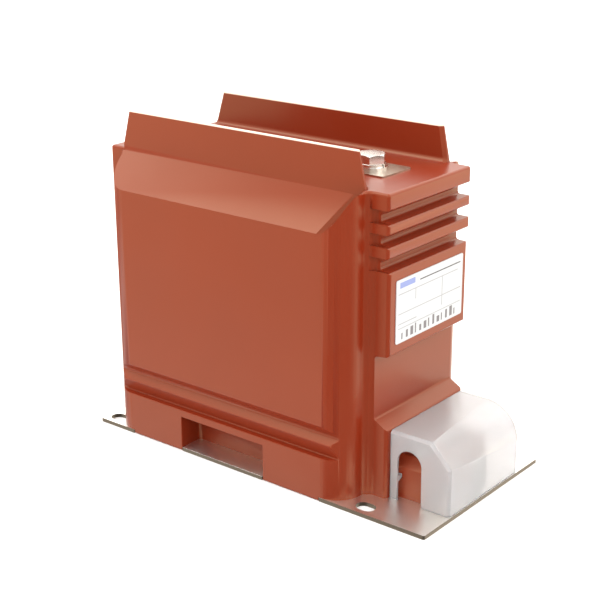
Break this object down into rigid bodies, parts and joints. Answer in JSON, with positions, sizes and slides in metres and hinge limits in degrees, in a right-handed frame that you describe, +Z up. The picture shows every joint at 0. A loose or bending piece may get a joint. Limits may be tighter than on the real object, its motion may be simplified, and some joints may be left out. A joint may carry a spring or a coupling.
{
  "type": "cast resin current transformer",
  "caption": "Indoor block-type current transformer cast in brown-red resin, with busbar terminals between fins, a base plate and a translucent secondary terminal cover.",
  "frame": {"origin": "middle of the base plate's underside", "axes": "+X along the length towards the secondary terminals, +Z up, -Y the long side with the cable slot"},
  "size_m": [0.3056, 0.148, 0.2465],
  "materials": {
    "resin": "semi-gloss cast epoxy resin",
    "plate_metal": "bright zinc-plated sheet",
    "tinned_metal": "tin-plated",
    "copper": "bare copper, enamelled on the windings",
    "core_steel": "wound strip",
    "plated_steel": "bright plated",
    "brass": "machined",
    "label": "printed white",
    "cover_plastic": "milky, translucent"
  },
  "bodies": {
    "root": {"resin_body": "resin", "base_plate": "plate_metal", "earth_bracket": "plate_metal", "primary_terminal_p1": "tinned_metal", "primary_terminal_p2": "tinned_metal", "primary_conductor": "copper", "measuring_winding": "copper", "protection_winding": "copper", "secondary_lead_1": "copper", "secondary_lead_2": "copper", "secondary_lead_3": "copper", "secondary_lead_4": "copper", "measuring_core": "core_steel", "protection_core": "core_steel", "terminal_bolt_p2": "plated_steel", "spring_washer_p2": "plated_steel", "flat_washer_p2": "plated_steel", "earth_screw": "plated_steel", "secondary_screw_1": "plated_steel", "secondary_screw_2": "plated_steel", "secondary_screw_3": "plated_steel", "secondary_screw_4": "plated_steel", "secondary_spring_washer_1": "plated_steel", "secondary_spring_washer_2": "plated_steel", "secondary_spring_washer_3": "plated_steel", "secondary_spring_washer_4": "plated_steel", "secondary_washer_1": "plated_steel", "secondary_washer_2": "plated_steel", "secondary_washer_3": "plated_steel", "secondary_washer_4": "plated_steel", "base_screw_1": "plated_steel", "base_screw_2": "plated_steel", "base_screw_3": "plated_steel", "base_screw_4": "plated_steel", "secondary_insert_1": "brass", "secondary_insert_2": "brass", "secondary_insert_3": "brass", "secondary_insert_4": "brass", "base_insert_1": "brass", "base_insert_2": "brass", "base_insert_3": "brass", "base_insert_4": "brass", "rating_plate": "label", "secondary_cover": "cover_plastic"}
  },
  "joints": []
}
